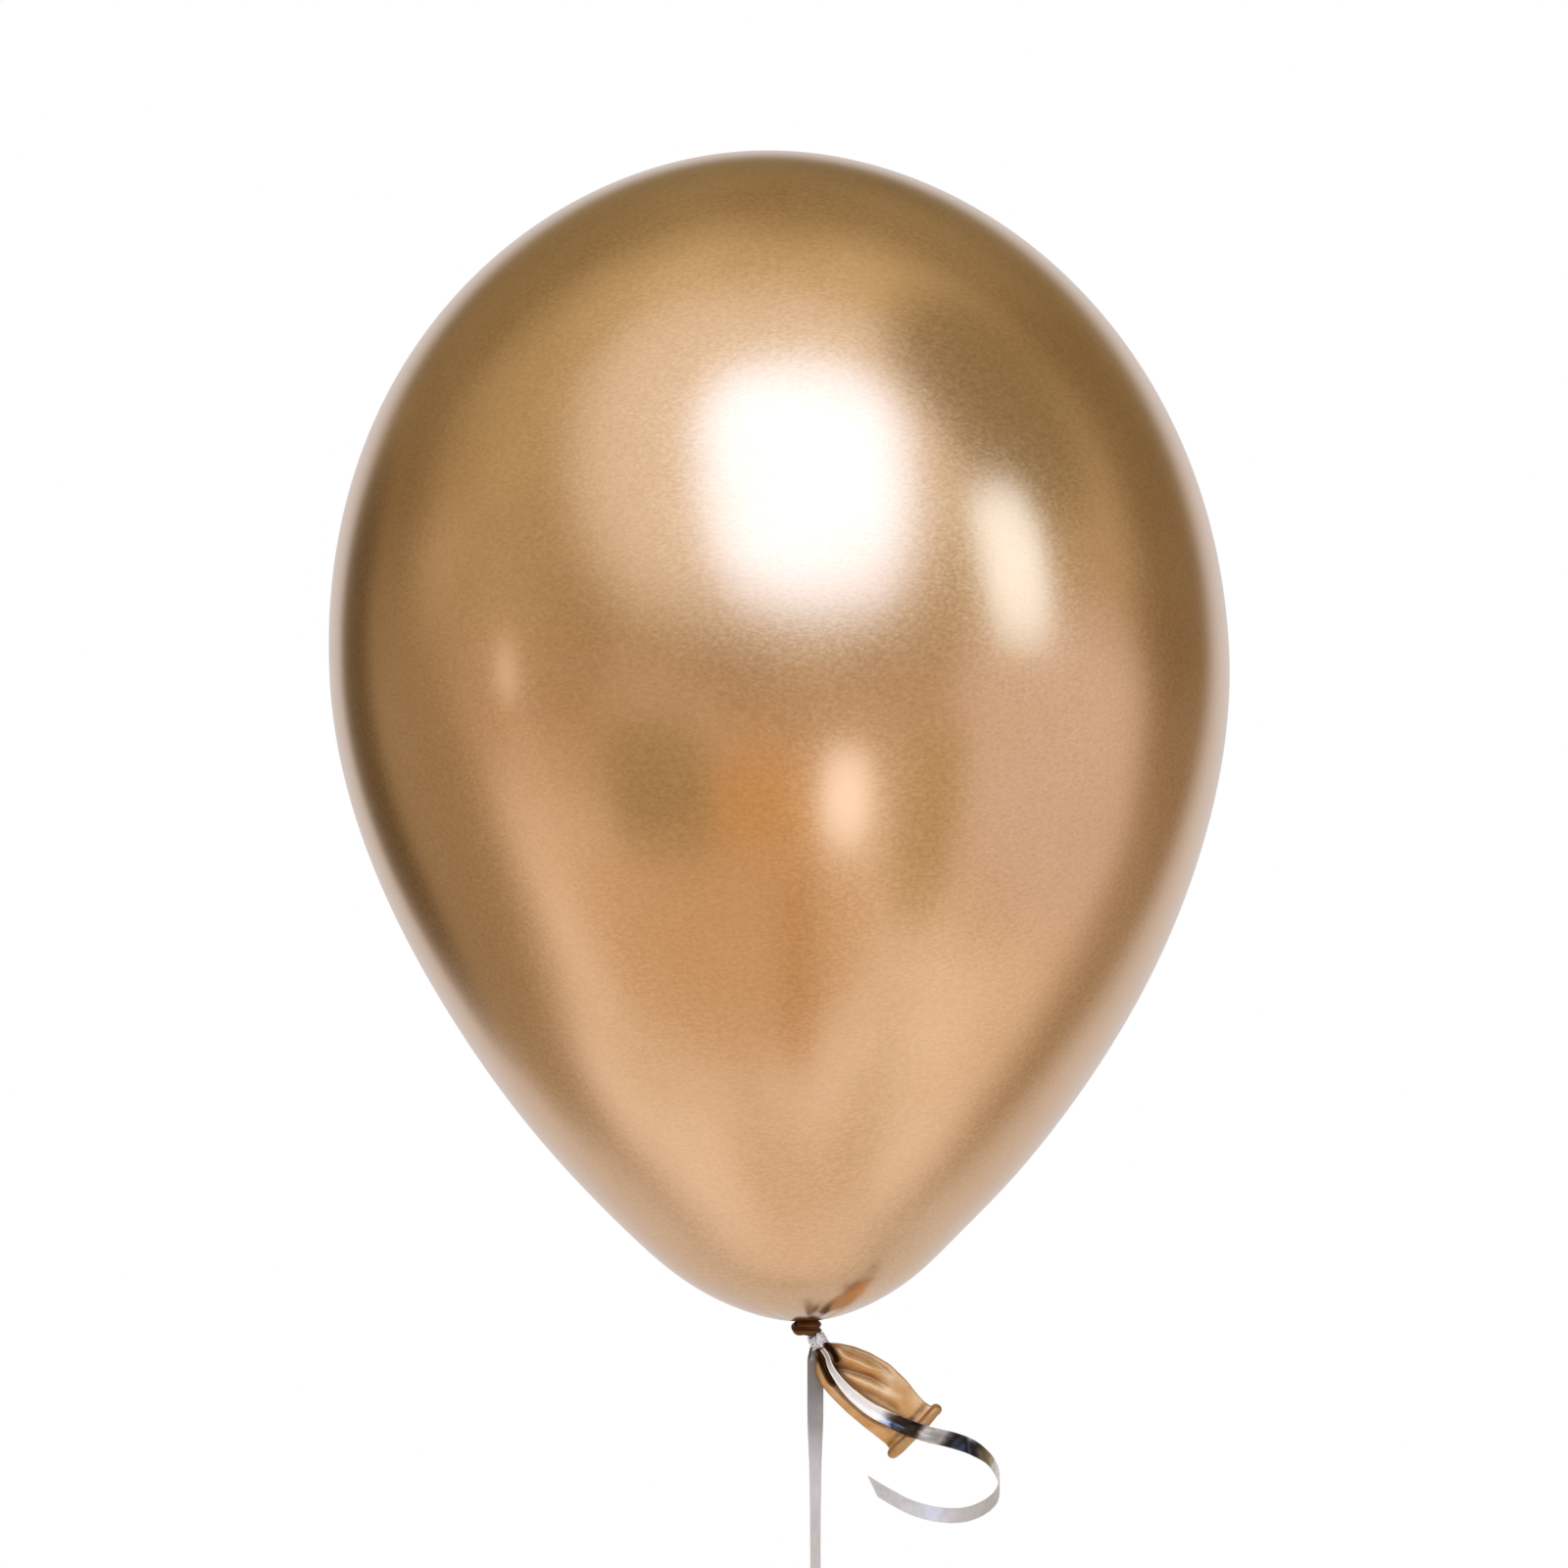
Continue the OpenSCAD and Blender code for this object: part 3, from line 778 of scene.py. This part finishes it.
make_neck()
make_knot()
make_tail()
make_bead()

# ---------------------------------------------------------------- the ribbon tie


def around_neck(angle, along, radius):
    """A point beside the neck."""
    return along * NECK_DIR + radius * (math.cos(angle) * NECK_SIDE + math.sin(angle) * FRONT)


def make_wraps():
    """Three crinkled turns of bunched ribbon round the neck, each over the last."""
    turns = 3
    count = 18 * turns + 1
    route = [around_neck(2 * math.pi * turns * k / (count - 1),
                         (-1.25 + 2.5 * k / (count - 1) + 0.25 * math.sin(0.9 * k)) * MM,
                         (2.1 + 0.35 * k / (count - 1)) * MM) for k in range(count)]
    widths = np.tile(NECK_DIR, (count, 1))
    wraps = ribbon_strip("ribbon_wrap_turns", route, widths, bunch=[(0, 0.5), (1, 0.5)],
                         faces=(CRUSHED, CRUSHED), crinkle=0.07 * MM, folds=4, step=0.2 * MM)
    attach(wraps, "balloon")
    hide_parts("ribbon_wraps")


def make_hitch():
    """The half hitch on the front of the tie that the free end comes out of."""
    route = [around_neck(0.35 * math.pi, -1.5 * MM, 2.3 * MM),
             around_neck(0.45 * math.pi, -0.8 * MM, 3.0 * MM),
             around_neck(0.55 * math.pi, 0.4 * MM, 3.2 * MM),
             around_neck(0.5 * math.pi, 1.6 * MM, 3.1 * MM),
             np.array(HITCH_EXIT) - mm([0.3, 0, -0.5])]
    widths = np.tile([0.7, 0, 0.6], (len(route), 1))
    hitch = ribbon_strip("ribbon_half_hitch", route, widths,
                         bunch=[(0, 0.3), (0.5, 0.36), (1, 0.3)], faces=(CRUSHED, CRUSHED),
                         crinkle=0.12 * MM, folds=3, step=0.2 * MM)
    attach(hitch, "balloon")
    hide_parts("ribbon_hitch")


make_wraps()
make_hitch()

# ------------------------------------------------------------- studio and floor

BALLOON_MIDDLE = Vector((THROAT.x, 0, THROAT.z + BELLY_AT * HEIGHT))
FLOOR_Z = -0.95
FLOOR_R = 6.5
CARD_POWER = 3.0             # how square a card's outline is


def direction(azimuth, elevation):
    """A direction from the balloon: azimuth 0 is towards the camera, positive to the right."""
    a, e = math.radians(azimuth), math.radians(elevation)
    return Vector((math.sin(a) * math.cos(e), -math.cos(a) * math.cos(e), math.sin(e)))


def facing(obj, azimuth, elevation, away):
    """Puts a light or a card there, facing the balloon."""
    towards = direction(azimuth, elevation)
    obj.location = BALLOON_MIDDLE + away * towards
    obj.rotation_euler = towards.to_track_quat("Z", "Y").to_euler()


def make_lamp(name, azimuth, elevation, away, width, height, radiance, colour):
    """A soft rectangular lamp of a given brightness, which lights but isn't mirrored."""
    lamp = bpy.data.lights.new(name, "AREA")
    lamp.shape = "RECTANGLE"
    lamp.size = width
    lamp.size_y = height
    lamp.energy = radiance * math.pi * width * height
    lamp.color = to_linear(colour)[:3]
    obj = bpy.data.objects.new(name, lamp)
    facing(obj, azimuth, elevation, away)
    obj.visible_glossy = False
    bpy.context.scene.collection.objects.link(obj)


def make_card(name, azimuth, elevation, away, width, height, colour, strength, edge):
    """A studio card that only reflections see, a pale reflector or a dark flag.

    width and height are angles in degrees, and edge is how much of it fades out.
    """
    wide, tall = (2 * away * math.tan(math.radians(angle) / 2) for angle in (width, height))
    corners = [[(-wide / 2, -tall / 2, 0), (wide / 2, -tall / 2, 0)],
               [(-wide / 2, tall / 2, 0), (wide / 2, tall / 2, 0)]]
    card = grid_mesh(name, corners)
    material, tree = new_material(name + "_cloth")
    place = add(tree, "ShaderNodeTexCoord").outputs["Object"]
    middle = add(tree, "ShaderNodeMapping", Vector=place, Scale=(2 / wide, 2 / tall, 1.0))
    # the sum of two cubes is 1 on a rectangle with rounded corners
    powers = [add(tree, "ShaderNodeMath", {"operation": "POWER"}, _0=add(
        tree, "ShaderNodeMath", {"operation": "ABSOLUTE"}, _0=part).outputs[0], _1=CARD_POWER)
        for part in add(tree, "ShaderNodeSeparateXYZ", Vector=middle.outputs[0]).outputs[:2]]
    out = add(tree, "ShaderNodeMath", _0=powers[0].outputs[0], _1=powers[1].outputs[0])
    fade = add(tree, "ShaderNodeMapRange", {"interpolation_type": "SMOOTHSTEP"},
               Value=out.outputs[0], From_Min=1.0, From_Max=(1 - edge) ** CARD_POWER)
    glow = add(tree, "ShaderNodeEmission", Color=to_linear(colour), Strength=strength)
    clear = add(tree, "ShaderNodeBsdfTransparent")
    both = add(tree, "ShaderNodeMixShader", _0=fade.outputs[0], _1=clear.outputs[0],
               _2=glow.outputs[0])
    finish_material(tree, both)
    card.data.materials.append(material)
    facing(card, azimuth, elevation, away)
    card.visible_camera = False
    card.visible_shadow = False
    card.visible_diffuse = False


def make_floor():
    """A wide, plain, pale floor, which isn't mirrored in the balloon."""
    turn = np.linspace(0, 2 * math.pi, 96, endpoint=False)
    rim = np.stack([FLOOR_R * np.cos(turn), FLOOR_R * np.sin(turn), 0 * turn + FLOOR_Z], -1)
    mesh = bpy.data.meshes.new("floor")
    mesh.from_pydata(rim.tolist(), [], [tuple(range(len(rim)))])
    floor = bpy.data.objects.new("floor", mesh)
    bpy.context.scene.collection.objects.link(floor)
    material, tree = new_material("matt_painted_floor")
    shader = add(tree, "ShaderNodeBsdfPrincipled", Base_Color=to_linear("#F0EBEC"), Roughness=0.8)
    finish_material(tree, shader)
    floor.data.materials.append(material)
    floor.visible_glossy = False


def make_world():
    """A white surround to look at, and a dimmer room in the reflections."""
    world = bpy.data.worlds.new("studio")
    bpy.context.scene.world = world
    world.use_nodes = True
    tree = world.node_tree
    tree.nodes.clear()
    seen = add(tree, "ShaderNodeBackground", Color=to_linear("#FFFFFF"), Strength=1.0)
    place = add(tree, "ShaderNodeTexCoord").outputs["Generated"]
    way = add(tree, "ShaderNodeSeparateXYZ", Vector=place)
    # by height: bright low down, warm and dim above
    height = add(tree, "ShaderNodeMapRange", Value=way.outputs["Z"], From_Min=-1.0, From_Max=1.0)
    room = ramp(tree, height.outputs[0], [(0.0, "#F2E6E4"), (0.06, "#FFF8FC"), (0.2, "#F4E6E0"),
                                          (0.42, "#CFBAAA"), (0.52, "#BBAA92"), (0.8, "#C0B292"),
                                          (1.0, "#D6C9AA")])
    # and dimmer behind the balloon
    depth = add(tree, "ShaderNodeMapRange", Value=way.outputs["Y"], From_Min=0.15, From_Max=1.0)
    shade = ramp(tree, depth.outputs[0], [(0.0, "#FFFFFF"), (0.3, "#C0B8A8"), (0.55, "#C2B9A4"),
                                          (1.0, "#A89F8C")])
    patches = add(tree, "ShaderNodeTexNoise", Vector=place, Scale=2.2, Detail=2.0)
    patch = ramp(tree, patches.outputs["Fac"], [(0.35, "#E4DFD2"), (0.6, "#FFFFFF")])
    mixed = add(tree, "ShaderNodeMix", {"data_type": "RGBA", "blend_type": "MULTIPLY"},
                _0=1.0, _6=room, _7=shade)
    mottled = add(tree, "ShaderNodeMix", {"data_type": "RGBA", "blend_type": "MULTIPLY"},
                  _0=1.0, _6=mixed.outputs[2], _7=patch)
    lit = add(tree, "ShaderNodeBackground", Color=mottled.outputs[2], Strength=1.0)
    both = add(tree, "ShaderNodeMixShader",
               _0=add(tree, "ShaderNodeLightPath").outputs["Is Glossy Ray"],
               _1=seen.outputs[0], _2=lit.outputs[0])
    add(tree, "ShaderNodeOutputWorld", Surface=both.outputs[0])


# azimuth, elevation, distance, width, height, brightness, colour
LAMPS = {
    "key_lamp": (9, 38, 1.8, 1.25, 1.25, 3.0, "#DDE6FF"),
    "window_lamp": (63, 18, 2.3, 0.6, 0.95, 3.0, "#E6EEFF"),
}
# azimuth, elevation, distance, angle wide, angle high, colour, brightness, share that fades
CARDS = {
    "backdrop": (180, -22, 1.7, 98, 112, "#FFF7F4", 0.68, 0.45),
    "key_glow": (-4, 44, 2.6, 100, 88, "#E6E4E8", 1.1, 0.9),
    "softbox": (8, 35, 1.7, 58, 62, "#B0CAFF", 3.4, 0.95),
    "window": (61, 17, 1.7, 23, 32, "#C6DCFF", 2.4, 0.6),
    "right_wall": (72, -14, 2.2, 72, 56, "#E4D8DC", 0.95, 0.6),
    "right_shade": (80, 44, 2.4, 46, 52, "#8F8262", 1.0, 0.95),
    "left_edge": (-131, -6, 1.15, 26, 56, "#5E4E34", 1.0, 0.9),
    "left_shade": (-108, -20, 1.3, 56, 62, "#A08E74", 1.0, 0.95),
    "left_strip": (-70, -3, 1.8, 6, 12, "#F6EEF0", 1.5, 0.8),
    "left_flag": (-31, -27, 1.35, 34, 38, "#A89878", 1.0, 0.95),
    "right_flag": (39, -27, 1.35, 19, 40, "#BCAA86", 1.0, 0.95),
    "warm_flag": (-5, -31, 1.3, 30, 34, "#D2AC7C", 1.0, 0.95),
    "low_shade": (-20, -50, 1.2, 76, 36, "#D8C0A8", 1.0, 0.95),
    "low_flag": (3, -52, 1.12, 11, 36, "#C8A884", 1.0, 0.9),
    "low_glint": (16, -26, 1.22, 14, 21, "#E4EAFF", 2.0, 0.9),
}


def make_studio():
    """Everything that lights the balloon or shows in it."""
    for name, facts in LAMPS.items():
        make_lamp(name, *facts)
    for name, facts in CARDS.items():
        make_card(name, *facts)
    make_floor()
    make_world()
    bpy.context.scene.view_settings.view_transform = "Standard"


make_studio()
